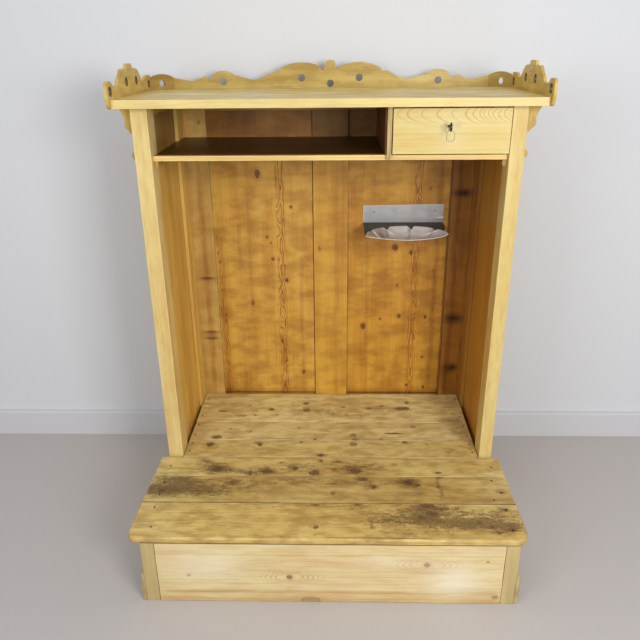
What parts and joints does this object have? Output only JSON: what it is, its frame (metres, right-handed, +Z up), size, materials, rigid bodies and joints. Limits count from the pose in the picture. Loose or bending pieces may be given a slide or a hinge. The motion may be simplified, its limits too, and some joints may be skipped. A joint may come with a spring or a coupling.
{
  "type": "church font cabinet",
  "caption": "Framed pine church alcove with a kneeling step, a fretwork gallery, an open compartment, a lockable drawer and a shell bowl for holy water.",
  "frame": {"origin": "on the floor, under the middle of the footprint", "axes": "+X to the right as seen from the front, +Y to the back, +Z up"},
  "size_m": [1.318, 0.96, 1.6355],
  "materials": {
    "pine_top": "waxed, worn",
    "pine_gallery": "waxed",
    "pine_pale": "waxed, pale",
    "pine_inside": "waxed, aged",
    "pine_shelf": "bare, aged",
    "pine_floor": "waxed, stained by use",
    "pine_box": "waxed",
    "lock_steel": "dull steel",
    "brass": "tarnished",
    "key_steel": "worn steel",
    "wire": "bright wire",
    "zinc": "dull zinc, dented",
    "shell": "polished clam shell",
    "cement": "rough",
    "nail_iron": "rusted iron"
  },
  "bodies": {
    "cabinet": {"top_board": "pine_top", "gallery_back": "pine_gallery", "gallery_corner_left": "pine_gallery", "gallery_corner_right": "pine_gallery", "gallery_side_left": "pine_gallery", "gallery_side_right": "pine_gallery", "scroll_brackets": "pine_gallery", "front_post_left": "pine_pale", "front_post_right": "pine_pale", "rear_stile_left": "pine_inside", "rear_stile_right": "pine_inside", "side_top_rails": "pine_inside", "side_bottom_rails": "pine_inside", "side_panel_left": "pine_inside", "side_panel_right": "pine_inside", "back_stile_left": "pine_inside", "back_stile_right": "pine_inside", "back_stile_centre": "pine_inside", "back_top_rail": "pine_inside", "back_bottom_rail": "pine_inside", "back_panel_left": "pine_inside", "back_panel_right": "pine_inside", "shelf": "pine_shelf", "shelf_cleats": "pine_shelf", "divider_panel": "pine_inside", "divider_strip": "pine_pale", "drawer_guide": "pine_shelf", "drawer_kickers": "pine_shelf", "drawer_stop": "pine_shelf", "floor_board_front": "pine_floor", "floor_board_middle": "pine_floor", "floor_board_rear": "pine_floor", "floor_bearers": "pine_box", "step_board_front": "pine_floor", "step_board_middle": "pine_floor", "step_board_rear": "pine_floor", "step_riser": "pine_pale", "step_corner_posts": "pine_box", "step_side_boards": "pine_box", "step_plinths": "pine_box", "step_rear_rail": "pine_box", "step_bearers": "pine_box", "stoup_plate": "zinc", "stoup_shell": "shell", "stoup_pads": "cement", "stoup_screws": "zinc", "plank_nails": "nail_iron", "gallery_nails": "nail_iron"},
    "drawer": {"drawer_front": "pine_pale", "drawer_side_left": "pine_shelf", "drawer_side_right": "pine_shelf", "drawer_back": "pine_shelf", "drawer_bottom": "pine_shelf", "lock_case": "lock_steel", "lock_screws": "lock_steel", "keyhole_pins": "brass"},
    "key": {"key": "key_steel"},
    "bolt": {"lock_bolt": "brass"},
    "key_ring": {"key_ring": "wire"}
  },
  "joints": [
    {"name": "drawer_slide", "type": "slide", "parent": "cabinet", "child": "drawer", "axis": [0, -1, 0], "range_m": [0, 0.33]},
    {"name": "key_turn", "type": "hinge", "parent": "drawer", "child": "key", "pos_m": [0.365, -0.03, 1.455], "axis": [0, 1, 0], "range_deg": [-2, 92]},
    {"name": "bolt_throw", "type": "slide", "parent": "drawer", "child": "bolt", "axis": [0, 0, 1], "range_m": [0, 0.01398]},
    {"name": "ring_hang", "type": "hinge", "parent": "key", "child": "key_ring", "pos_m": [0.365, -0.064, 1.443], "axis": [0, 1, 0], "range_deg": [-94, 4]}
  ],
  "couplings": [
    {"joint": "key_turn", "follows": "bolt_throw", "rad_per_m": 112.36},
    {"joint": "ring_hang", "follows": "bolt_throw", "rad_per_m": -112.36}
  ]
}
